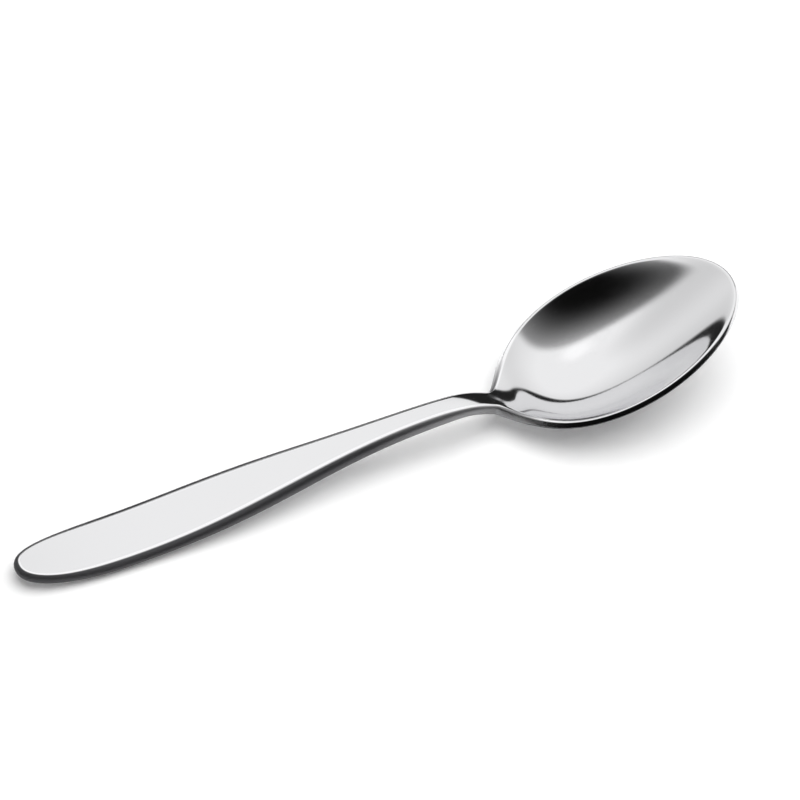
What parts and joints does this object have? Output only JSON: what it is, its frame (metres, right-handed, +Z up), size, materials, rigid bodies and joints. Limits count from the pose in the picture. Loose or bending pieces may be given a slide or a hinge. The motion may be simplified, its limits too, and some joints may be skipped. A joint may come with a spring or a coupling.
{
  "type": "coffee spoon",
  "caption": "Small polished steel spoon with an egg-shaped bowl, a slim arched neck and a flat tapered handle with a rounded end.",
  "frame": {"origin": "on the table, under the middle of the spoon's box, with the spoon lying on its bowl and handle", "axes": "+X along the spoon from the handle to the tip of the bowl, +Y across it, +Z up"},
  "size_m": [0.13, 0.03, 0.0172],
  "materials": {
    "steel": "polished"
  },
  "bodies": {
    "root": {"handle": "steel", "neck": "steel", "bowl": "steel"}
  },
  "joints": []
}
